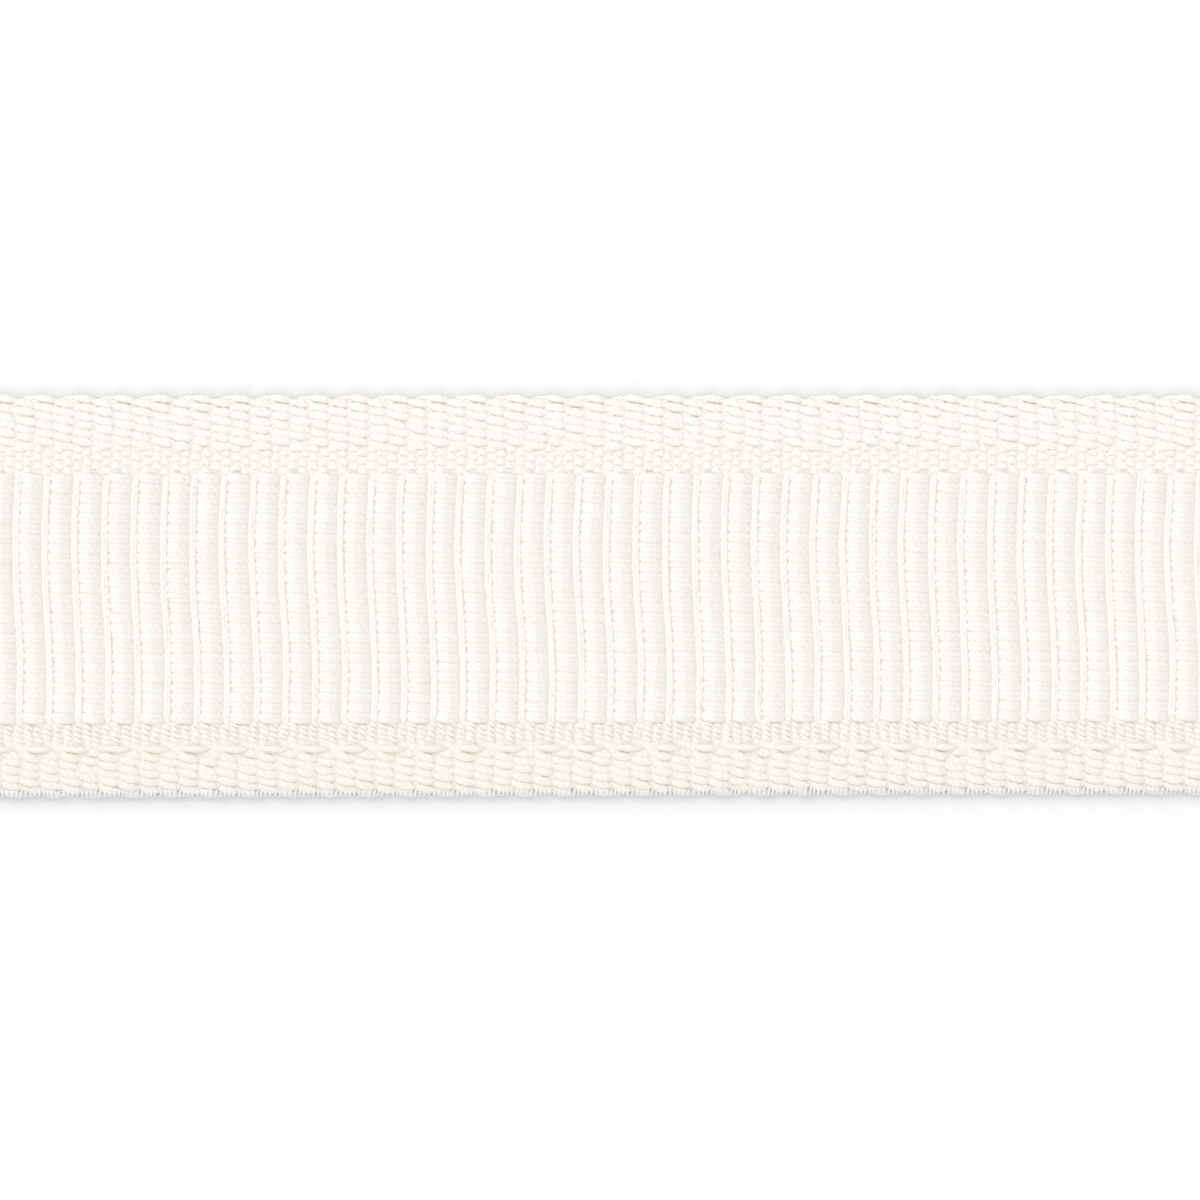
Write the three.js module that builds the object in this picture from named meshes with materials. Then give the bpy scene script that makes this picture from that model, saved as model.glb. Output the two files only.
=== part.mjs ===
// A cut length of ribbed cotton braid trim, woven in one piece and lying flat.
// Millimetres. X runs along the tape, Y across it and Z up from the surface it lies on.
// The origin is on the underside, at the middle of the tape.
import * as THREE from 'three';

// Driving sizes.
const PICK_PITCH = 0.7425; // from one pass of the weft to the next
const PICKS_IN_RIB = 3; // two lie under the broad rib, and the third is the narrow line beside it
const RIB_COUNT = 54;
const TAPE_THICKNESS = 1.2; // at the crown of a broad rib
const RIB_DEPTH = 0.3;

// The borders' floats lie in columns of two picks, and their pattern repeats every four.
const COLUMN_PICKS = 2;
const COLUMN_DEPTH = 0.1;
const SCALLOP_PICKS = 4;
const SCALLOP_RISE = 0.2;

// The ribs run across the tape in a shallow S.
const BOW_LEAN = 0.038;
const BOW_SWAY = 0.196;
const BOW_WAVE = 20.2;
const BOW_CENTRE = -1.27;

// The tape narrows a little along its length, at the edge with the catch thread.
const EDGE_WANDER = 0.13;
const EDGE_WANDER_WAVE = 180;

// One rib, from groove to groove: how far along it a point lies, and its share of the rib's height.
const RIB_PROFILE = [
  { along: 0, height: 0 },
  { along: 0.12, height: 0.72 },
  { along: 0.33, height: 1 },
  { along: 0.54, height: 0.7 },
  { along: 0.66, height: 0.04 },
  { along: 0.83, height: 0.86 },
];

// Rows across the tape, from the scalloped edge down to the edge with the catch thread. y is in
// millimetres, top and under are the two faces as shares of TAPE_THICKNESS, and rib, column and
// scallop are the shares of those reliefs that the row takes.
const ROWS = [
  { name: 'scalloped edge', y: 14.85, top: 0.68, under: 0.28, rib: 0.3, column: 0, scallop: 1 },
  { name: 'upper shoulder', y: 14.4, top: 0.88, under: 0, rib: 0, column: 1, scallop: 0.4 },
  { name: 'upper border', y: 11.4, top: 0.9, under: 0, rib: 0, column: 1, scallop: 0 },
  { name: 'plain weave', y: 9.6, top: 0.77, under: 0, rib: 0.2, column: 0, scallop: 0 },
  { name: 'body head', y: 9.2, top: 0.96, under: 0, rib: 1, column: 0, scallop: 0 },
  { name: 'upper body', y: 3.6, top: 0.99, under: 0, rib: 1, column: 0, scallop: 0 },
  { name: 'middle', y: -0.9, top: 1, under: 0, rib: 1, column: 0, scallop: 0 },
  { name: 'lower body', y: -5.4, top: 0.99, under: 0, rib: 1, column: 0, scallop: 0 },
  { name: 'body foot', y: -9.4, top: 0.96, under: 0, rib: 1, column: 0, scallop: 0 },
  { name: 'fine weave', y: -9.8, top: 0.82, under: 0, rib: 0.25, column: 0, scallop: 0 },
  { name: 'seam', y: -11.2, top: 0.7, under: 0, rib: 0, column: 0.3, scallop: 0 },
  { name: 'lower border', y: -11.6, top: 0.9, under: 0, rib: 0, column: 1, scallop: 0 },
  { name: 'lower shoulder', y: -14.4, top: 0.86, under: 0, rib: 0, column: 1, scallop: 0 },
  { name: 'catch thread edge', y: -14.9, top: 0.64, under: 0.27, rib: 0.3, column: 0, scallop: 0.2 },
];

const ribPitch = PICKS_IN_RIB * PICK_PITCH;
const tapeLength = RIB_COUNT * ribPitch;
const lastRow = ROWS.length - 1;

// The side view of the tape: the underside at 0, and the ribs between 1, a groove, and 2, a crown.
function ribOutline() {
  const outline = new THREE.Shape();
  outline.moveTo(-tapeLength / 2, 0);
  for (let rib = 0; rib < RIB_COUNT; rib++) {
    for (const point of RIB_PROFILE) {
      outline.lineTo((rib + point.along) * ribPitch - tapeLength / 2, 1 + point.height);
    }
  }
  outline.lineTo(tapeLength / 2, 1);
  outline.lineTo(tapeLength / 2, 0);
  return outline;
}

// How far a rib is pushed along the tape at y, fading out at the two straight cut ends.
function bowAt(x, y) {
  const sway = BOW_SWAY * Math.sin((2 * Math.PI * (y - BOW_CENTRE)) / BOW_WAVE);
  const fade = Math.min(1, (tapeLength / 2 - Math.abs(x)) / ribPitch);
  return fade * (BOW_LEAN - sway);
}

// How far across the tape a point of the row lies, with the scallops and the wander of the width.
function acrossAt(x, row) {
  const scallop = 0.5 + 0.5 * Math.cos((2 * Math.PI * x) / (SCALLOP_PICKS * PICK_PITCH));
  const fromScallops = (ROWS[0].y - row.y) / (ROWS[0].y - ROWS[lastRow].y);
  const wander = EDGE_WANDER * fromScallops * Math.sin((2 * Math.PI * x) / EDGE_WANDER_WAVE);
  return row.y + Math.sign(row.y) * SCALLOP_RISE * row.scallop * scallop + wander;
}

// The height of the upper face, lowered from the row's top by the ribs and the borders' columns.
function topAt(x, row, ribHeight) {
  const columnHeight = Math.abs(Math.sin((Math.PI * x) / (COLUMN_PICKS * PICK_PITCH)));
  const ribDrop = RIB_DEPTH * row.rib * (1 - ribHeight);
  const columnDrop = COLUMN_DEPTH * row.column * (1 - columnHeight);
  return TAPE_THICKNESS * row.top - ribDrop - columnDrop;
}

// The tape: the side view drawn out across the width in one step for each row, with its points
// then moved to the place of their row.
function tapeGeometry() {
  const geometry = new THREE.ExtrudeGeometry(ribOutline(), {
    depth: lastRow,
    steps: lastRow,
    bevelEnabled: false,
  });
  const points = geometry.getAttribute('position');
  for (let i = 0; i < points.count; i++) {
    const x = points.getX(i);
    const level = points.getY(i);
    const row = ROWS[Math.round(points.getZ(i))];
    const y = acrossAt(x, row);
    const z = level < 0.5 ? TAPE_THICKNESS * row.under : topAt(x, row, level - 1);
    points.setXYZ(i, x + bowAt(x, y), y, z);
  }
  geometry.computeVertexNormals();
  return geometry;
}

const cotton = new THREE.MeshStandardMaterial({ color: 0xf6f1e6, roughness: 0.95, metalness: 0 });

const tape = new THREE.Mesh(tapeGeometry(), cotton);
tape.name = 'trim_tape';

const model = new THREE.Group();
model.add(tape);

export default model;
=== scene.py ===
"""A cut length of ribbed cotton braid trim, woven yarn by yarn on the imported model's frame."""
import math
from collections import namedtuple

import bpy
import numpy as np
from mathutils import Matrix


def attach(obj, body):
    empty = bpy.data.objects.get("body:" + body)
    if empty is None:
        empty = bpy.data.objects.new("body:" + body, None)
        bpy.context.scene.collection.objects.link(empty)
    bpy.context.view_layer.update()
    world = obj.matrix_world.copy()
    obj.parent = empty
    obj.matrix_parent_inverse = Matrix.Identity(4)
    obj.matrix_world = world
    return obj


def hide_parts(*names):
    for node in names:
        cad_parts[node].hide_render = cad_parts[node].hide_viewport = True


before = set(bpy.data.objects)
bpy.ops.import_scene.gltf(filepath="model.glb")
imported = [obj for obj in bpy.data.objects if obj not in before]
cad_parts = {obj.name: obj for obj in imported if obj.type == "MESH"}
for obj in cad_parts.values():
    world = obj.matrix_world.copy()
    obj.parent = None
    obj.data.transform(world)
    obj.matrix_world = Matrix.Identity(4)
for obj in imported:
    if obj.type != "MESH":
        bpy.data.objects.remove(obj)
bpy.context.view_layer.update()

# Sizes are in millimetres until a mesh is made. X runs along the tape, Y across it, Z up. An end is
# one yarn of the warp, which runs along the tape, and a pick is the weft's place across it.
METRES = 0.001
PICK_PITCH = 0.7425
PICK_COUNT = 162
TAPE_LENGTH = PICK_PITCH * PICK_COUNT
TAPE_WIDTH = 30.0

# The ribs repeat every three picks, and the third is the narrow line between two ribs. The seam, the
# borders and the catch thread repeat every four.
PICKS_IN_RIB = 3
LINE_PICK = 2
PICKS_IN_REPEAT = 4

# Heights above the surface that the tape lies on: where the ends cross the weft, the weft under the
# broad ribs, and the weft of the narrow lines.
MIDDLE_HEIGHT = 0.8
RIB_WEFT_HEIGHT = 0.5
LINE_WEFT_HEIGHT = 0.94

# The ribs run across the tape in a shallow S, the same as the solid's.
BOW_LEAN = 0.038
BOW_SWAY = 0.196
BOW_WAVE = 20.2
BOW_CENTRE = -1.27

# The tape narrows a little along its length, at the edge with the catch thread.
EDGE_WANDER = 0.13
EDGE_WANDER_WAVE = 180

# How the ends of one part of the tape interlace. top is the place of its uppermost end across the
# tape, and pitch the distance to the next. over and under are counted in picks, first is the pick at
# which the first end comes up, and step moves it on for each next end. An end rises above the middle
# height where it floats, dips below it where it passes under, and takes reach to get there from a
# crossing. crown is how much higher a float arches at its middle, slant is how far it leans towards
# the lower edge, sag is how far its middle hangs that way, and tilt turns its face. bulge is how far
# the floats of the uppermost end bow the other way. A float narrows from width at its middle to neck
# at both crossings, the later the larger taper is. height is the yarn's thickness, scatter is how far
# it strays across the tape, and shade is the painted shade that deepens its colour. stations
# are the places of its rings of points in one repeat, in picks.
Strip = namedtuple(
    "Strip",
    "name count top pitch over under first step width neck height rise dip reach crown slant sag tilt"
    " bulge taper scatter shade stations",
)
RIB_STATIONS = (0, 0.22, 0.5, 1.12, 1.74, 2.02, 2.24, 2.43, 2.62, 2.81)
BORDER_STATIONS = (0, 0.25, 0.6, 1.0, 1.5, 1.9, 2.25, 2.5, 2.8, 3.25, 3.7)
SEAM_STATIONS = (0, 0.25, 0.6, 1.1, 1.5, 1.9, 2.4, 2.75, 3.0, 3.25, 3.5, 3.75)
PLAIN_STATIONS = (0, 0.28, 0.72, 1.0, 1.28, 1.72)

# The strips and borders beside the ribbed body, from the scalloped edge down. The seam and the lower
# border carry painted shade.
STRIPS = (
    Strip(
        name="upper_border_ends", count=12, top=14.8, pitch=0.309, over=2.5, under=1.5, first=1.75,
        step=2, width=0.82, neck=0.3, height=0.21, rise=0.1, dip=0.62, reach=0.75, crown=0.04,
        slant=0.34, sag=0.04, tilt=0.08, bulge=0.14, taper=1.5, scatter=0.05, shade=0,
        stations=BORDER_STATIONS,
    ),
    Strip(
        name="plain_strip_ends", count=6, top=11.13, pitch=0.34, over=1, under=1, first=0,
        step=1, width=0.62, neck=0.44, height=0.2, rise=0.09, dip=0.62, reach=0.34, crown=0.03,
        slant=0.16, sag=0, tilt=0.1, bulge=0, taper=2.2, scatter=0.04, shade=0,
        stations=PLAIN_STATIONS,
    ),
    Strip(
        name="fine_strip_ends", count=7, top=-9.62, pitch=0.198, over=1, under=1, first=0,
        step=1, width=0.38, neck=0.26, height=0.2, rise=0.12, dip=0.62, reach=0.37, crown=0.06,
        slant=0.34, sag=0, tilt=0.1, bulge=0, taper=1.8, scatter=0.025, shade=0,
        stations=PLAIN_STATIONS,
    ),
    Strip(
        name="seam_ends", count=1, top=-11.43, pitch=0, over=3, under=1, first=1,
        step=0, width=0.6, neck=0.2, height=0.28, rise=0.18, dip=0.6, reach=0.5, crown=0.08,
        slant=0.1, sag=0.04, tilt=0, bulge=0, taper=1.8, scatter=0.02, shade=1.6,
        stations=SEAM_STATIONS,
    ),
    Strip(
        name="lower_border_ends", count=11, top=-11.75, pitch=0.296, over=2.5, under=1.5, first=2.75,
        step=2, width=0.8, neck=0.3, height=0.21, rise=0.1, dip=0.62, reach=0.75, crown=0.04,
        slant=0.36, sag=0.08, tilt=0.1, bulge=0, taper=1.5, scatter=0.05, shade=2.2,
        stations=BORDER_STATIONS,
    ),
)

# A strip's bulge fades out over its first ends.
SCALLOP_ENDS = 5

# The ribbed body: pairs of ends that float over two picks and dip under the third. They cross the
# weft PAIR_RAISE higher than the other ends do. The body's heights pass into those of the strips
# beside it within BODY_FADE.
BODY_TOP = 9.2
BODY_PAIRS = 25
BODY_MESHES = 3
PAIR_PITCH = 0.7495
PAIR_RAISE = 0.1
BODY_BOTTOM = BODY_TOP - BODY_PAIRS * PAIR_PITCH
BODY_FADE = 0.5
BODY_END = Strip(
    name="body_ends", count=BODY_PAIRS, top=BODY_TOP, pitch=PAIR_PITCH, over=2.28, under=0.72,
    first=-0.14, step=0, width=0.54, neck=0.42, height=0.2, rise=0.02, dip=0.74, reach=0.42,
    crown=0.15, slant=0.08, sag=0, tilt=0, bulge=0, taper=6, scatter=0.018, shade=0,
    stations=RIB_STATIONS,
)

# The two ends of a pair lie PAIR_HALF from its middle and close up by PAIR_PINCH where they cross the
# weft. They turn their faces apart by PAIR_TILT, and by PAIR_TURN more where a float or a dip begins.
# Where the pair comes up it lies PAIR_HOOK nearer the upper edge, and it hooks down from that within
# HOOK_REACH of half a float.
PAIR_HALF = 0.174
PAIR_PINCH = 0.03
PAIR_TILT = 0.05
PAIR_TURN = 0.25
PAIR_HOOK = 0.2
HOOK_REACH = 0.27

# A rib arches higher in its first half, and its second half gets painted shade, deeper towards the
# line.
RIB_LEAN = 0.5
RIB_PAINTED_SHADE = 1.2

# The tape's edges round off: within EDGE_REACH the ends sink by EDGE_DROP and turn their faces out.
# EDGE_LIFT times that drop comes off their dips, which keeps them above the floor.
EDGE_REACH = 0.7
EDGE_DROP = 0.3
EDGE_LIFT = 1.6
EDGE_TURN = 0.7

# Ends stray smoothly, over STRAY_WAVE picks: across the tape by their strip's scatter, along it by
# STRAY_ALONG times the scatter, and in height by the scatter divided by STRAY_FLATNESS. Their width
# strays too.
STRAY_WAVE = 2
STRAY_ALONG = 2.2
STRAY_FLATNESS = 3
WIDTH_STRAY = 0.06

# Places where an end is cut stray by this much, in picks, and have a second ring of points beside
# the first.
CUT_STRAY = 0.1
CUT_RING = 0.05

# A yarn's section is an ellipse at a squareness of 2, and boxier above that. Each end has a tone of
# its own with its painted shade added, and the weft and the catch thread have the plain one.
YARN_SIDES = 8
YARN_SQUARENESS = 2.1
PLAIN_TONE = 0.5

# The weft runs twice in each pick, WEFT_SPREAD to either side of its middle. It turns WEFT_INSET
# inside each edge, in a bow. Between two pairs it shows more: there it rises, spreads and swells.
WEFT_WIDTH = 0.42
WEFT_THICKNESS = 0.24
WEFT_SPREAD = 0.09
WEFT_SIDES = 6
WEFT_INSET = 0.42
WEFT_REACH = TAPE_WIDTH / 2 - WEFT_INSET
WEFT_LOW_TURN = 0.14
WEFT_HIGH_TURN = 0.16
GAP_RISE = 0.02
GAP_SPREAD = 0.012
GAP_SWELL = 0.08
WEFT_STRAY_UP = 0.012
WEFT_WAVE_UP = 0.9
WEFT_STRAY_ALONG = 0.014
WEFT_WAVE_ALONG = 0.7

# Points of one crossing by the weft: for each pair in a line, in the whole body where the ribs hide
# it, and in the strips on either side of the body.
LINE_POINTS_IN_PAIR = 3
HIDDEN_POINTS = 14
BORDER_POINTS = 6

# The catch thread winds in a helix along the lower edge and sways out and up once in each repeat.
# COIL_STRAY and COIL_SWELL vary the places and the sizes of its turns, over so many turns as the
# waves say.
COIL_Y = -14.74
COIL_HEIGHT = 0.55
COIL_PITCH = 0.35
COIL_RADIUS = 0.3
COIL_BREADTH = 0.9
COIL_RISE = 1.05
COIL_THICKNESS = 0.2
COIL_FLATNESS = 0.8
COIL_SWAY = 0.04
COIL_SHIFT = 0.4
COIL_STRAY = 0.05
COIL_STRAY_WAVE = 1.7
COIL_SWELL = 0.12
COIL_SWELL_WAVE = 1.3
COIL_SMALLEST = 0.75
COIL_LARGEST = 1.2
COIL_STATIONS = 9
COIL_SIDES = 5

# The felted core: the height of its upper face, how much higher that is in the ribbed body, its
# thickness, and how far it stops inside the long edges and the cut ends.
CORE_TOP = 0.9
CORE_RISE = 0.05
CORE_THICKNESS = 0.16
CORE_INSET = 0.2
CORE_END_INSET = 0.12
CORE_COLUMNS = 161
CORE_ROWS = 33

# Each pick wanders along the tape, by its own amount in each of these rows across the width. The
# margin is the number of spare picks beyond each cut end, and JUST_INSIDE keeps a place before the
# last row or pick, so that there is a next one.
JITTER_ROWS = 9
JITTER_MARGIN = 2
JITTER = 0.028
JUST_INSIDE = 0.001

rng = np.random.default_rng(7)
pick_jitter = rng.normal(0, JITTER, (PICK_COUNT + 2 * JITTER_MARGIN, JITTER_ROWS))


def smoothstep(t):
    """0 below 0, 1 above 1, and a smooth rise between them."""
    t = np.clip(t, 0, 1)
    return t * t * (3 - 2 * t)


def bow(x, y):
    """How far the ribs are pushed along the tape at y, fading out at the straight cut ends."""
    sway = BOW_SWAY * np.sin(2 * np.pi * (y - BOW_CENTRE) / BOW_WAVE)
    fade = np.clip((TAPE_LENGTH / 2 - np.abs(x)) / (PICKS_IN_RIB * PICK_PITCH), 0, 1)
    return fade * (BOW_LEAN - sway)


def jitter(pick, y):
    """A small wander of each pick along the tape, different from pick to pick and across the width."""
    row = np.clip((y / TAPE_WIDTH + 0.5) * (JITTER_ROWS - 1), 0, JITTER_ROWS - 1 - JUST_INSIDE)
    last = PICK_COUNT + 2 * JITTER_MARGIN - 1 - JUST_INSIDE
    at = np.clip(pick + JITTER_MARGIN, 0, last)
    i = np.floor(at).astype(int)
    j = np.floor(row).astype(int)
    s = at - i
    t = smoothstep(row - j)
    low = pick_jitter[i, j] * (1 - s) + pick_jitter[i + 1, j] * s
    high = pick_jitter[i, j + 1] * (1 - s) + pick_jitter[i + 1, j + 1] * s
    return low * (1 - t) + high * t


def along(pick, y):
    """X of a place along the tape counted in picks."""
    x = (pick + 0.5) * PICK_PITCH - TAPE_LENGTH / 2
    ends = np.clip((TAPE_LENGTH / 2 - np.abs(x)) / PICK_PITCH, 0, 1)
    return x + bow(x, y) + ends * jitter(pick, y)


def across(x, y):
    """Y with the slow narrowing of the tape, which grows towards the lower edge."""
    share = 0.5 - y / TAPE_WIDTH
    return y + EDGE_WANDER * share * np.sin(2 * np.pi * x / EDGE_WANDER_WAVE)


def wander(places, size, wave):
    """A smooth random wander at places, about size high and wave long."""
    knots = np.arange(places.min() - wave, places.max() + 2 * wave, wave)
    return np.interp(places, knots, rng.normal(0, size, len(knots)))


def edge_share(y):
    """1 at the edge of the tape, fading to 0 within the first few ends."""
    return np.exp(-(((TAPE_WIDTH / 2 - np.abs(y)) / EDGE_REACH) ** 2))


def body_share(y):
    """1 in the ribbed body, 0 in the strips and borders beside it."""
    return smoothstep((BODY_TOP - y) / BODY_FADE) * smoothstep((y - BODY_BOTTOM) / BODY_FADE)


class Yarns:
    """Closed tubes gathered into one mesh, with a map that lays them out as one ribbon in rows."""

    # The free part of a row's height on either side of the ribbon, and how little past the end of a
    # row still counts as in it.
    ROW_MARGIN = 0.05
    ROW_TOLERANCE = 1e-6

    def __init__(self, sides):
        self.sides = sides
        self.turn = np.arange(sides) * 2 * math.pi / sides - math.pi / 2
        self.points = []
        self.wrap = []
        self.tone_and_painted_shade = []
        self.quads = []
        self.caps = []
        self.quad_ends = []
        self.cap_places = []
        self.count = 0
        self.ribbon = 0.0
        self.girth = []

    def add(self, path, width, height, tone_and_painted_shade, up=(0, 0, 1)):
        """One tube along path. width and height are the section's, at each point of the path."""
        path = np.asarray(path, float)
        n = len(path)
        tangent = np.gradient(path, axis=0)
        tangent /= np.linalg.norm(tangent, axis=1)[:, None]
        up = np.broadcast_to(np.asarray(up, float), path.shape)
        normal = up - (up * tangent).sum(1)[:, None] * tangent
        normal /= np.linalg.norm(normal, axis=1)[:, None]
        side = np.cross(normal, tangent)
        c, s = np.cos(self.turn), np.sin(self.turn)
        power = 2 / YARN_SQUARENESS
        flat_c = np.sign(c) * np.abs(c) ** power
        flat_s = np.sign(s) * np.abs(s) ** power
        half_width = np.broadcast_to(width, n)[:, None, None] / 2
        half_height = np.broadcast_to(height, n)[:, None, None] / 2
        rings = path[:, None, :] + half_width * flat_c[None, :, None] * side[:, None, :]
        rings = rings + half_height * flat_s[None, :, None] * normal[:, None, :]
        steps = np.linalg.norm(np.diff(path, axis=0), axis=1)
        distance = np.concatenate([[0], np.cumsum(steps)])
        wrap = np.empty((n, self.sides, 3))
        wrap[:, :, 0] = distance[:, None]
        wrap[:, :, 1] = c
        wrap[:, :, 2] = s
        i, j = np.meshgrid(np.arange(n - 1), np.arange(self.sides), indexing="ij")
        k = (j + 1) % self.sides
        a = self.count + i * self.sides
        b = a + self.sides
        self.quads.append(np.stack([a + j, a + k, b + k, b + j], axis=2).reshape(-1, 4))
        place = self.ribbon + distance
        ends = np.stack([place[:-1], place[1:]], axis=1)
        self.quad_ends.append(np.repeat(ends, self.sides, axis=0))
        self.caps.append(self.count + np.arange(self.sides)[::-1])
        self.caps.append(self.count + (n - 1) * self.sides + np.arange(self.sides))
        self.cap_places.extend([place[0], place[-1]])
        self.points.append(rings.reshape(-1, 3))
        self.wrap.append(wrap.reshape(-1, 3))
        self.tone_and_painted_shade.append(np.broadcast_to(tone_and_painted_shade, (n, self.sides)).reshape(-1))
        self.girth.append(math.pi / 2 * (np.mean(width) + np.mean(height)))
        self.count += n * self.sides
        self.ribbon += distance[-1]

    def corner_map(self):
        """Where each face's corners lie on the map: the ribbon's length in rows of equal length."""
        row_length = math.sqrt(self.ribbon * np.mean(self.girth))
        rows = int(self.ribbon / row_length) + 1
        ends = np.concatenate(self.quad_ends) / row_length
        row = np.minimum(np.floor(ends.mean(axis=1)), rows - 1)
        start = np.clip(ends[:, 0] - row, 0, 1)
        stop = np.clip(ends[:, 1] - row, 0, 1)
        side = np.tile(np.arange(self.sides), len(row) // self.sides)
        share = 1 - 2 * self.ROW_MARGIN
        low = (row + self.ROW_MARGIN + share * side / self.sides) / rows
        high = (row + self.ROW_MARGIN + share * (side + 1) / self.sides) / rows
        u = np.stack([start, start, stop, stop], axis=1).ravel()
        v = np.stack([low, high, high, low], axis=1).ravel()
        cap = np.array(self.cap_places) / row_length
        cap_row = np.minimum(np.floor(cap - self.ROW_TOLERANCE).clip(0), rows - 1)
        cap_u = np.repeat(np.clip(cap - cap_row, 0, 1), self.sides)
        cap_v = np.repeat((cap_row + 0.5) / rows, self.sides)
        return np.stack([np.concatenate([u, cap_u]), np.concatenate([v, cap_v])], axis=1)

    def mesh(self, name):
        """The gathered tubes as a Blender object."""
        points = np.concatenate(self.points) * METRES
        quads = np.concatenate(self.quads)
        caps = np.concatenate(self.caps)
        cap_count = len(self.caps)
        corners = np.concatenate([quads.ravel(), caps])
        sizes = np.concatenate([np.full(len(quads), 4), np.full(cap_count, self.sides)])
        starts = np.concatenate([[0], np.cumsum(sizes)[:-1]])
        smooth = np.concatenate([np.ones(len(quads), bool), np.zeros(cap_count, bool)])
        mesh = bpy.data.meshes.new(name)
        mesh.vertices.add(len(points))
        mesh.vertices.foreach_set("co", points.astype(np.float32).ravel())
        mesh.loops.add(len(corners))
        mesh.loops.foreach_set("vertex_index", corners.astype(np.int32))
        mesh.polygons.add(len(sizes))
        mesh.polygons.foreach_set("loop_start", starts.astype(np.int32))
        mesh.polygons.foreach_set("loop_total", sizes.astype(np.int32))
        mesh.polygons.foreach_set("use_smooth", smooth)
        wrap = mesh.attributes.new("yarn_wrap", "FLOAT_VECTOR", "POINT")
        wrap.data.foreach_set("vector", np.concatenate(self.wrap).astype(np.float32).ravel())
        tone_and_painted_shade = mesh.attributes.new("yarn_tone_and_painted_shade", "FLOAT", "POINT")
        tone_and_painted_shade.data.foreach_set("value", np.concatenate(self.tone_and_painted_shade).astype(np.float32))
        layer = mesh.uv_layers.new(name="OFBake")
        layer.data.foreach_set("uv", self.corner_map().astype(np.float32).ravel())
        mesh.update()
        mesh.validate()
        piece = bpy.data.objects.new(name, mesh)
        bpy.context.scene.collection.objects.link(piece)
        return piece


def stations_of(strip, first):
    """Places along the tape, in picks, where an end gets a ring of points."""
    period = strip.over + strip.under
    start = first - 0.5
    base = np.arange(math.floor(-start / period) - 1, PICK_COUNT // period + 2) * period + start
    all_places = (base[:, None] + np.array(strip.stations)[None, :]).ravel()
    low = -0.5 + rng.uniform(0, CUT_STRAY)
    high = PICK_COUNT - 0.5 - rng.uniform(0, CUT_STRAY)
    inside = all_places[(all_places > low + 2 * CUT_RING) & (all_places < high - 2 * CUT_RING)]
    return np.concatenate([[low, low + CUT_RING], inside, [high - CUT_RING, high]])


def interlace(strip, pick, first):
    """Where the places of an end lie in its weave: whether up, how far, and where in the float."""
    period = strip.over + strip.under
    phase = np.mod(pick - first + 0.5, period)
    is_up = phase < strip.over
    length = np.where(is_up, strip.over, strip.under)
    gone = np.where(is_up, phase, phase - strip.over)
    share = 2 * gone / length - 1
    near = np.clip(np.minimum(gone, length - gone) * PICK_PITCH / strip.reach, 0, 1)
    lift = near * (1.5 - 0.5 * near**2)
    return is_up, np.where(is_up, lift, -lift), share


def weave_end(yarns, strip, y, first, edge=0.0, bulge=0.0, side=0):
    """One warp end: over and under the picks, as its strip says.

    edge is its share of the rounding of the tape's edge, bulge is how far its floats bow towards the
    upper edge, and side is 1 or -1 in a pair.
    """
    pick = stations_of(strip, first)
    is_up, lift, share = interlace(strip, pick, first)
    paired = abs(side)
    arch = np.where(is_up, 1 - share**2, 0)
    crown = strip.crown * arch * (1 - RIB_LEAN * paired * share)
    drop = EDGE_DROP * edge
    rise = np.where(is_up, strip.rise, strip.dip - EDGE_LIFT * drop)
    scatter = strip.scatter * (1 - edge)
    middle = MIDDLE_HEIGHT + PAIR_RAISE * paired - drop
    z = middle + rise * lift + crown + wander(pick, scatter / STRAY_FLATNESS, STRAY_WAVE)
    start = np.exp(-(1 + share) / HOOK_REACH)
    hook = PAIR_HOOK * paired * np.where(is_up, start, (1 + share) / 2)
    y = y - side * PAIR_PINCH * (1 - np.abs(lift)) + hook
    y = y + strip.slant / 2 * np.where(is_up, -share, share) + (bulge - strip.sag) * arch
    y = y + wander(pick, scatter, STRAY_WAVE)
    x = along(pick, y) + wander(pick, STRAY_ALONG * scatter, STRAY_WAVE)
    path = np.stack([x, across(x, y), z], axis=1)
    full = (1 - np.abs(share) ** strip.taper) * (1 + wander(pick, WIDTH_STRAY, STRAY_WAVE))
    width = strip.neck + (strip.width - strip.neck) * full
    edge_tilt = math.copysign(EDGE_TURN * edge, y[0])
    tilt = strip.tilt + edge_tilt + side * (PAIR_TILT + PAIR_TURN * start)
    up = np.stack([np.zeros_like(start), tilt, np.ones_like(start)], axis=1)
    # Painted shade: the strip's own, and in the ribbed body more of it over the second half of each
    # float.
    shade = strip.shade + RIB_PAINTED_SHADE * paired * np.where(is_up, np.maximum(share, 0), 0)
    yarns.add(path, width, strip.height, (rng.uniform(0, 1) + shade)[:, None], up)


def make_strip(strip):
    """All the ends of one strip or border."""
    yarns = Yarns(YARN_SIDES)
    for i in range(strip.count):
        y = strip.top - i * strip.pitch
        bulge = strip.bulge * max(0, 1 - i / SCALLOP_ENDS)
        weave_end(yarns, strip, y, strip.first + i * strip.step, edge_share(y), bulge)
    return yarns.mesh(strip.name)


def make_body():
    """The pairs of ends of the ribbed body, shared out over a few meshes."""
    pieces = []
    share = math.ceil(BODY_PAIRS / BODY_MESHES)
    for number in range(BODY_MESHES):
        yarns = Yarns(YARN_SIDES)
        for pair in range(number * share, min(BODY_PAIRS, (number + 1) * share)):
            centre = BODY_TOP - (pair + 0.5) * PAIR_PITCH
            for side in (1, -1):
                weave_end(yarns, BODY_END, centre + side * PAIR_HALF, BODY_END.first, side=side)
        pieces.append(yarns.mesh(f"{BODY_END.name}_{number + 1}"))
    return pieces


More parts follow.
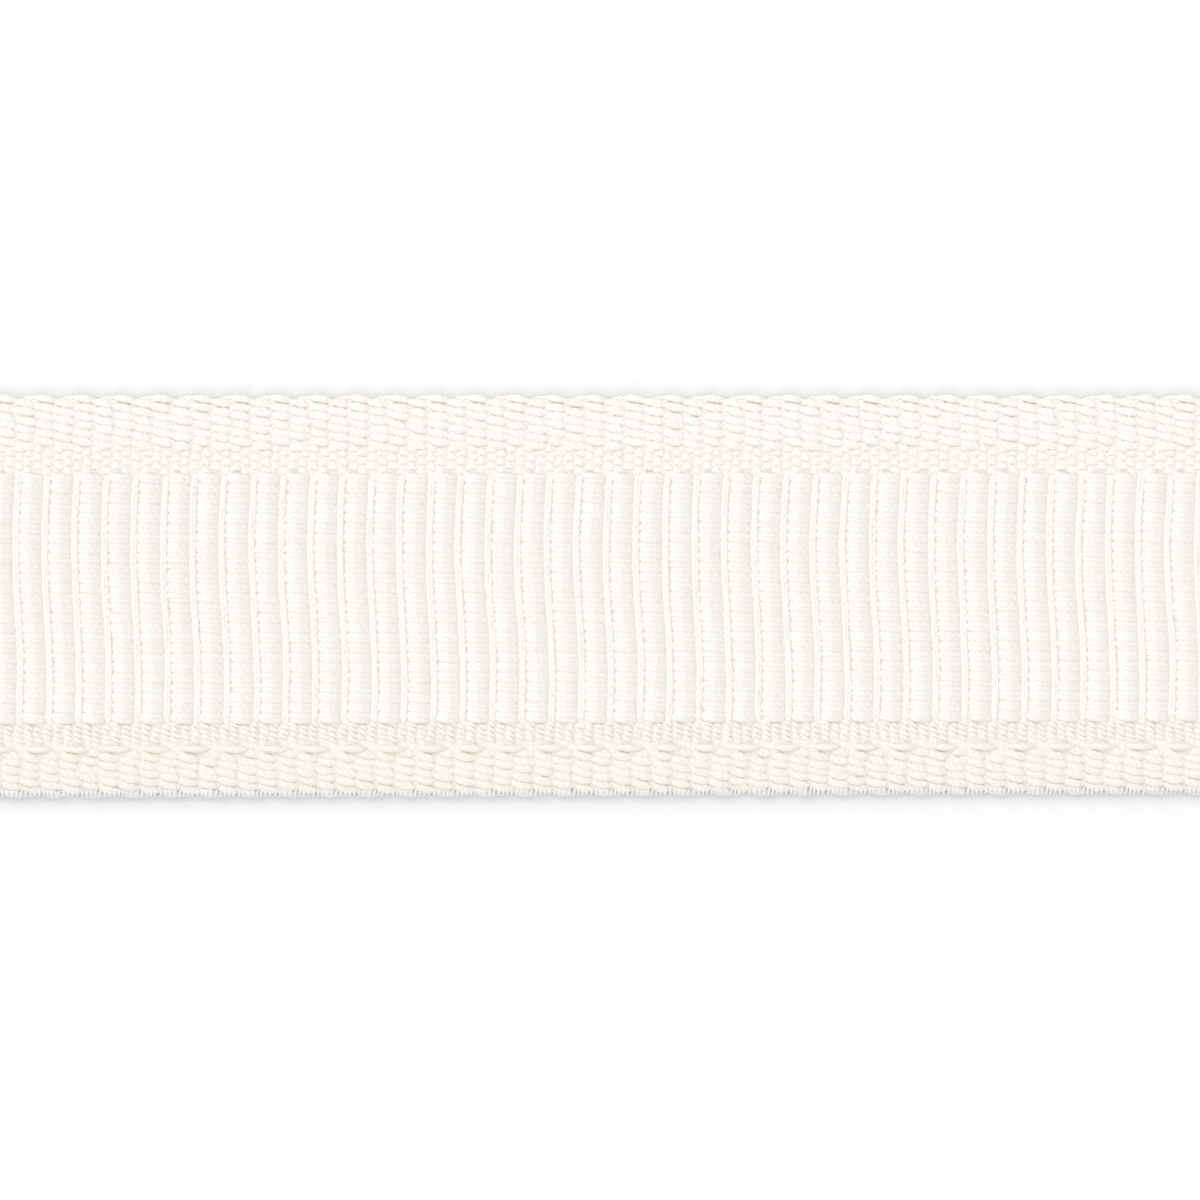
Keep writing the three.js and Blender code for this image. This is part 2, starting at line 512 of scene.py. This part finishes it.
def weft_places(in_line):
    """Y of the weft's points in one pass, closer together where the pick shows."""
    points = BODY_PAIRS * LINE_POINTS_IN_PAIR + 1 if in_line else HIDDEN_POINTS
    upper = np.linspace(WEFT_REACH, BODY_TOP, BORDER_POINTS, endpoint=False)
    body = np.linspace(BODY_TOP, BODY_BOTTOM, points)
    lower = np.linspace(BODY_BOTTOM, -WEFT_REACH, BORDER_POINTS + 1)[1:]
    return np.concatenate([upper, body, lower])


def weft_pass(pick, side):
    """One crossing of the tape by the weft, beside its twin in the same pick."""
    in_line = pick % PICKS_IN_RIB == LINE_PICK
    y = weft_places(in_line)
    raised = LINE_WEFT_HEIGHT if in_line else RIB_WEFT_HEIGHT
    shown = body_share(y)
    gap = 0.5 + 0.5 * np.cos(2 * np.pi * (y - BODY_TOP) / PAIR_PITCH)
    z = MIDDLE_HEIGHT + (raised + GAP_RISE * gap - MIDDLE_HEIGHT) * shown
    z = z - EDGE_DROP * edge_share(y) + wander(y, WEFT_STRAY_UP, WEFT_WAVE_UP)
    spread = WEFT_SPREAD + GAP_SPREAD * gap * shown
    x = along(pick, y) + side * spread + wander(y, WEFT_STRAY_ALONG, WEFT_WAVE_ALONG)
    path = np.stack([x, across(x, y), z], axis=1)
    width = WEFT_WIDTH * (1 + GAP_SWELL * gap * shown)
    return path, width


def make_weft():
    """The weft, one yarn that goes to and fro: down and back up in each pick."""
    yarns = Yarns(WEFT_SIDES)
    path = []
    width = []
    for pick in range(PICK_COUNT):
        down, down_width = weft_pass(pick, -1)
        back, back_width = weft_pass(pick, 1)
        low = (down[-1] + back[-1]) / 2 + [0, -WEFT_LOW_TURN, 0]
        path.extend([down, low[None], back[::-1]])
        width.extend([down_width, [WEFT_WIDTH], back_width[::-1]])
        if pick < PICK_COUNT - 1:
            high = back[0] + [PICK_PITCH / 2 - WEFT_SPREAD, WEFT_HIGH_TURN, 0]
            path.append(high[None])
            width.append([WEFT_WIDTH])
    yarns.add(np.concatenate(path), np.concatenate(width), WEFT_THICKNESS, PLAIN_TONE)
    return yarns.mesh("weft")


def make_catch_thread():
    """The fine thread that locks the weft's loops along the lower edge."""
    yarns = Yarns(COIL_SIDES)
    turns = int(TAPE_LENGTH / COIL_PITCH)
    t = np.arange(turns * COIL_STATIONS + 1) / COIL_STATIONS
    angle = 2 * math.pi * t
    x = -TAPE_LENGTH / 2 + t * COIL_PITCH + wander(t, COIL_STRAY, COIL_STRAY_WAVE)
    group = np.cos(2 * math.pi * (x + COIL_SHIFT) / (PICKS_IN_REPEAT * PICK_PITCH))
    swell = np.clip(1 + wander(t, COIL_SWELL, COIL_SWELL_WAVE), COIL_SMALLEST, COIL_LARGEST)
    radius = COIL_RADIUS * swell
    y = COIL_Y - radius * np.cos(angle) * COIL_BREADTH - COIL_SWAY * group
    z = COIL_HEIGHT + radius * np.sin(angle) * COIL_RISE + COIL_SWAY * group
    outward = np.stack([0 * t, -np.cos(angle), np.sin(angle)], axis=1)
    path = np.stack([x, across(x, y), z], axis=1)
    yarns.add(path, COIL_THICKNESS, COIL_THICKNESS * COIL_FLATNESS, PLAIN_TONE, outward)
    return yarns.mesh("catch_thread")


def make_ground():
    """The cloth's felted core, a thin closed sheet inside the weave, which shows in its gaps."""
    half_length = TAPE_LENGTH / 2 - CORE_END_INSET
    columns, rows = CORE_COLUMNS, CORE_ROWS
    x = np.linspace(-half_length, half_length, columns)
    y = (TAPE_WIDTH / 2 - CORE_INSET) * np.sin(np.linspace(-math.pi / 2, math.pi / 2, rows))
    gx, gy = np.meshgrid(x, y, indexing="ij")
    top_height = CORE_TOP + CORE_RISE * body_share(gy) - EDGE_DROP * edge_share(gy)
    gy = across(gx, gy)
    top = np.stack([gx, gy, top_height], axis=2).reshape(-1, 3)
    under = top - [0, 0, CORE_THICKNESS]
    points = np.concatenate([top, under]) * METRES
    i, j = np.meshgrid(np.arange(columns - 1), np.arange(rows - 1), indexing="ij")
    a = (i * rows + j).ravel()
    b = a + rows
    face = np.stack([a, b, b + 1, a + 1], axis=1)
    shift = columns * rows
    faces = [face, face[:, ::-1] + shift]
    left = np.arange(rows)
    right = (columns - 1) * rows + left
    lower = np.arange(columns) * rows
    upper = lower + rows - 1
    for rim, flip in ((left, True), (right, False), (lower, False), (upper, True)):
        p, q = rim[:-1], rim[1:]
        wall = np.stack([p, p + shift, q + shift, q], axis=1)
        faces.append(wall[:, ::-1] if flip else wall)
    mesh = bpy.data.meshes.new("ground_cloth")
    mesh.from_pydata(points.tolist(), [], np.concatenate(faces).tolist())
    mesh.update()
    piece = bpy.data.objects.new("ground_cloth", mesh)
    bpy.context.scene.collection.objects.link(piece)
    return piece


class Nodes:
    """Short calls for building one material's nodes."""

    def __init__(self, name):
        self.material = bpy.data.materials.new(name)
        self.material.use_nodes = True
        self.tree = self.material.node_tree
        self.shader = self.tree.nodes["Principled BSDF"]

    def add(self, kind, **settings):
        node = self.tree.nodes.new(kind)
        for name, value in settings.items():
            setattr(node, name, value)
        return node

    def put(self, socket, value):
        if isinstance(value, bpy.types.NodeSocket):
            self.tree.links.new(value, socket)
        else:
            socket.default_value = value

    def math(self, operation, *values, clamp=False):
        node = self.add("ShaderNodeMath", operation=operation, use_clamp=clamp)
        for socket, value in zip(node.inputs, values):
            self.put(socket, value)
        return node.outputs[0]

    def scale(self, vector, factors):
        node = self.add("ShaderNodeVectorMath", operation="MULTIPLY")
        self.put(node.inputs[0], vector)
        self.put(node.inputs[1], factors)
        return node.outputs[0]

    def noise(self, vector, scale, detail, roughness=0.5):
        node = self.add("ShaderNodeTexNoise")
        self.put(node.inputs["Vector"], vector)
        node.inputs["Scale"].default_value = scale
        node.inputs["Detail"].default_value = detail
        node.inputs["Roughness"].default_value = roughness
        return node.outputs[0]

    def mix_colour(self, share, first, second):
        node = self.add("ShaderNodeMix", data_type="RGBA")
        self.put(node.inputs["Factor"], share)
        self.put(node.inputs["A"], first)
        self.put(node.inputs["B"], second)
        return node.outputs["Result"]

    def bump(self, height, distance):
        node = self.add("ShaderNodeBump")
        self.put(node.inputs["Height"], height)
        node.inputs["Distance"].default_value = distance * METRES
        node.inputs["Strength"].default_value = 1
        self.tree.links.new(node.outputs["Normal"], self.shader.inputs["Normal"])


# Linear colours.
COTTON_LIGHT = (0.94, 0.928, 0.897, 1)
COTTON_DEEP = (0.9, 0.862, 0.78, 1)
THREAD_LIGHT = (0.89, 0.88, 0.94, 1)
THREAD_DEEP = (0.82, 0.81, 0.88, 1)
# The core's colours are deeper than the yarns': painted shade for the gaps of the weave that it shows
# through.
CORE_LIGHT = (0.91, 0.876, 0.81, 1)
CORE_DEEP = (0.86, 0.815, 0.73, 1)

# The noises along and round a yarn, in repeats to the millimetre and to the yarn's radius. TONE_SHIFT
# moves them on from one yarn to the next. The groove lies between the plies, and the flanks are the
# yarn's two sides; both are darkened as painted shade, the shade between plies and between yarns.
FIBRE_SCALE = (1.6, 7, 7)
FIBRE_DETAIL = 3
FIBRE_ROUGHNESS = 0.6
SLUB_SCALE = (0.5, 0.2, 0.2)
SLUB_DETAIL = 2
TONE_SHIFT = 97
GROOVE_SHARPNESS = 3
FLANK_POWER = 4

# How much each of them deepens a yarn's colour. Up to DEEPENING_START the yarn stays light. The
# groove's and the flanks' shares are painted shade, and the tone's share holds each end's painted
# shade as well as its own tone.
FIBRE_DEEPENS = 0.9
GROOVE_PAINTED_SHADE = 0.35
FLANK_PAINTED_SHADE = 0.8
SLUB_DEEPENS = 0.5
TONE_AND_PAINTED_SHADE_DEEPENS = 0.25
DEEPENING_START = 0.55

# How much the fibres change a yarn's roughness and raise its surface beside the plies.
FIBRE_GLOSS = 0.2
FIBRE_RELIEF = 0.55
SHEEN_ROUGHNESS = 0.5
YARN_SPECULAR = 0.3


def yarn_material(name, light, deep, twist_length, relief, roughness, sheen):
    """Two-ply yarn: the plies wind round each other, with fine fibres along them."""
    nodes = Nodes(name)
    wrap = nodes.add("ShaderNodeAttribute", attribute_name="yarn_wrap").outputs["Vector"]
    tone_and_painted_shade = nodes.add("ShaderNodeAttribute", attribute_name="yarn_tone_and_painted_shade").outputs["Fac"]
    place = nodes.add("ShaderNodeSeparateXYZ")
    nodes.put(place.inputs[0], wrap)
    unwind = nodes.add("ShaderNodeVectorRotate", rotation_type="X_AXIS")
    nodes.put(unwind.inputs["Vector"], wrap)
    turned = nodes.math("MULTIPLY", place.outputs["X"], -2 * math.pi / twist_length)
    nodes.put(unwind.inputs["Angle"], turned)
    laid = nodes.add("ShaderNodeSeparateXYZ")
    nodes.put(laid.inputs[0], unwind.outputs["Vector"])
    ply = nodes.math("ABSOLUTE", laid.outputs["Y"])
    painted_groove_shade = nodes.math("SUBTRACT", 1, nodes.math("MULTIPLY", ply, GROOVE_SHARPNESS, clamp=True))
    shifted = nodes.add("ShaderNodeCombineXYZ")
    nodes.put(shifted.inputs[0], nodes.math("MULTIPLY_ADD", tone_and_painted_shade, TONE_SHIFT, place.outputs["X"]))
    nodes.put(shifted.inputs[1], laid.outputs["Y"])
    nodes.put(shifted.inputs[2], laid.outputs["Z"])
    fibre_spot = nodes.scale(shifted.outputs[0], FIBRE_SCALE)
    fibres = nodes.noise(fibre_spot, 1, FIBRE_DETAIL, FIBRE_ROUGHNESS)
    slub = nodes.noise(nodes.scale(shifted.outputs[0], SLUB_SCALE), 1, SLUB_DETAIL)
    painted_flank_shade = nodes.math("POWER", nodes.math("ABSOLUTE", place.outputs["Y"]), FLANK_POWER)
    # The groove and the flanks add painted shade, the fibres and slubs the yarn's own tone, and the
    # tone attribute both.
    share = nodes.math("MULTIPLY", painted_groove_shade, GROOVE_PAINTED_SHADE)
    share = nodes.math("MULTIPLY_ADD", fibres, FIBRE_DEEPENS, share)
    share = nodes.math("MULTIPLY_ADD", painted_flank_shade, FLANK_PAINTED_SHADE, share)
    share = nodes.math("MULTIPLY_ADD", slub, SLUB_DEEPENS, share)
    share = nodes.math("MULTIPLY_ADD", tone_and_painted_shade, TONE_AND_PAINTED_SHADE_DEEPENS, share)
    share = nodes.math("ADD", share, -DEEPENING_START, clamp=True)
    nodes.put(nodes.shader.inputs["Base Color"], nodes.mix_colour(share, light, deep))
    smoothest = roughness - FIBRE_GLOSS / 2
    rough = nodes.math("MULTIPLY_ADD", fibres, FIBRE_GLOSS, smoothest, clamp=True)
    nodes.put(nodes.shader.inputs["Roughness"], rough)
    nodes.shader.inputs["Sheen Weight"].default_value = sheen
    nodes.shader.inputs["Sheen Roughness"].default_value = SHEEN_ROUGHNESS
    nodes.shader.inputs["Specular IOR Level"].default_value = YARN_SPECULAR
    nodes.bump(nodes.math("MULTIPLY_ADD", fibres, FIBRE_RELIEF, ply), relief)
    return nodes.material


# The felt's two noises, in repeats to the metre, and how much each deepens its colour.
STRAND_SCALE = (9000, 2500, 2500)
STRAND_DEEPENS = 0.8
CLUMP_SCALE = 1800
CLUMP_DEEPENS = 0.5
FELT_DEEPENING_START = 0.3
FELT_ROUGHNESS = 0.95
FELT_RELIEF = 0.05


def felt_material():
    """The matted fibres of the cloth's core, seen only through the gaps of the weave."""
    nodes = Nodes("cotton_core")
    spot = nodes.add("ShaderNodeTexCoord").outputs["Object"]
    strands = nodes.noise(nodes.scale(spot, STRAND_SCALE), 1, FIBRE_DETAIL, FIBRE_ROUGHNESS)
    clumps = nodes.noise(spot, CLUMP_SCALE, SLUB_DETAIL)
    share = nodes.math("MULTIPLY", clumps, CLUMP_DEEPENS)
    share = nodes.math("MULTIPLY_ADD", strands, STRAND_DEEPENS, share)
    share = nodes.math("ADD", share, -FELT_DEEPENING_START, clamp=True)
    # Painted shade: the core's deeper colour stands for the shade in the weave's gaps, and its noise
    # for the felt's own fibres.
    nodes.put(nodes.shader.inputs["Base Color"], nodes.mix_colour(share, CORE_LIGHT, CORE_DEEP))
    nodes.shader.inputs["Roughness"].default_value = FELT_ROUGHNESS
    nodes.bump(strands, FELT_RELIEF)
    return nodes.material


FLOOR_SIZE_METRES = 4
FLOOR_COLOUR = (0.92, 0.92, 0.92, 1)
FLOOR_ROUGHNESS = 0.8


def make_stage():
    """The white ground that the tape lies on."""
    bpy.ops.mesh.primitive_plane_add(size=FLOOR_SIZE_METRES)
    floor = bpy.context.object
    floor.name = "floor"
    nodes = Nodes("floor")
    nodes.shader.inputs["Base Color"].default_value = FLOOR_COLOUR
    nodes.shader.inputs["Roughness"].default_value = FLOOR_ROUGHNESS
    floor.data.materials.append(nodes.material)
    return floor


# Three broad soft lights. spread is the angle that a light fills in the sky, and the turns about X
# and Y tip it from straight above. The angles are in degrees.
SoftLight = namedtuple("SoftLight", "name strength spread turn_x turn_y")
SOFT_LIGHTS = (
    SoftLight("overhead", strength=0.38, spread=110, turn_x=0, turn_y=0),
    SoftLight("key", strength=1.16, spread=50, turn_x=-36, turn_y=-40),
    SoftLight("fill", strength=0.5, spread=50, turn_x=52, turn_y=0),
)
WORLD_COLOUR = (1, 1, 1, 1)
WORLD_STRENGTH = 0.64
LIGHT_BOUNCES = 16


def make_soft_light(soft):
    """One of the soft lights, as a sun lamp with a wide disc."""
    light = bpy.data.lights.new(soft.name, "SUN")
    light.energy = soft.strength
    light.angle = math.radians(soft.spread)
    lamp = bpy.data.objects.new(soft.name, light)
    lamp.rotation_euler = (math.radians(soft.turn_x), math.radians(soft.turn_y), 0)
    bpy.context.scene.collection.objects.link(lamp)


def make_light():
    """An even white world and the soft lights, with enough bounces for pale yarns."""
    world = bpy.data.worlds.new("studio")
    world.use_nodes = True
    background = world.node_tree.nodes["Background"]
    background.inputs["Color"].default_value = WORLD_COLOUR
    background.inputs["Strength"].default_value = WORLD_STRENGTH
    bpy.context.scene.world = world
    for soft in SOFT_LIGHTS:
        make_soft_light(soft)
    cycles = bpy.context.scene.cycles
    cycles.max_bounces = LIGHT_BOUNCES
    cycles.diffuse_bounces = LIGHT_BOUNCES


# The camera looks straight down. The photo's scale holds at SCALE_HEIGHT above the floor, which is
# near the tape's face.
CAMERA_LENS = 180
SENSOR_WIDTH = 36
CAMERA_NEAR_METRES = 0.01
SCALE_HEIGHT = 1
PHOTO_MM_PER_PIXEL = 0.0754
PHOTO_PIXELS = 1200
PHOTO_TAPE_CENTRE_PIXEL = 596
PHOTO_CENTRE_X = -1.01


def make_camera():
    """The photo's view of the tape, from straight above."""
    camera = bpy.data.cameras.new("camera")
    camera.lens = CAMERA_LENS
    camera.sensor_width = SENSOR_WIDTH
    holder = bpy.data.objects.new("camera", camera)
    span = PHOTO_MM_PER_PIXEL * PHOTO_PIXELS * METRES
    distance = span * CAMERA_LENS / SENSOR_WIDTH
    above = (PHOTO_TAPE_CENTRE_PIXEL - PHOTO_PIXELS / 2) * PHOTO_MM_PER_PIXEL
    height = distance + SCALE_HEIGHT * METRES
    holder.location = (PHOTO_CENTRE_X * METRES, above * METRES, height)
    camera.clip_start = CAMERA_NEAR_METRES
    bpy.context.scene.collection.objects.link(holder)
    bpy.context.scene.camera = holder


make_camera()
floor = make_stage()
make_light()

cotton = yarn_material(
    "cream_cotton", COTTON_LIGHT, COTTON_DEEP, twist_length=1.15, relief=0.03, roughness=0.88, sheen=0.1
)
thread = yarn_material(
    "catch_thread", THREAD_LIGHT, THREAD_DEEP, twist_length=0.5, relief=0.012, roughness=0.55, sheen=0.1
)

pieces = [make_strip(strip) for strip in STRIPS] + make_body() + [make_weft()]
catch_thread = make_catch_thread()
ground = make_ground()
for piece in pieces:
    piece.data.materials.append(cotton)
catch_thread.data.materials.append(thread)
ground.data.materials.append(felt_material())
pieces.append(catch_thread)

for piece in pieces + [ground]:
    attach(piece, "root")
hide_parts("trim_tape")

bpy.context.scene.view_settings.view_transform = "Standard"
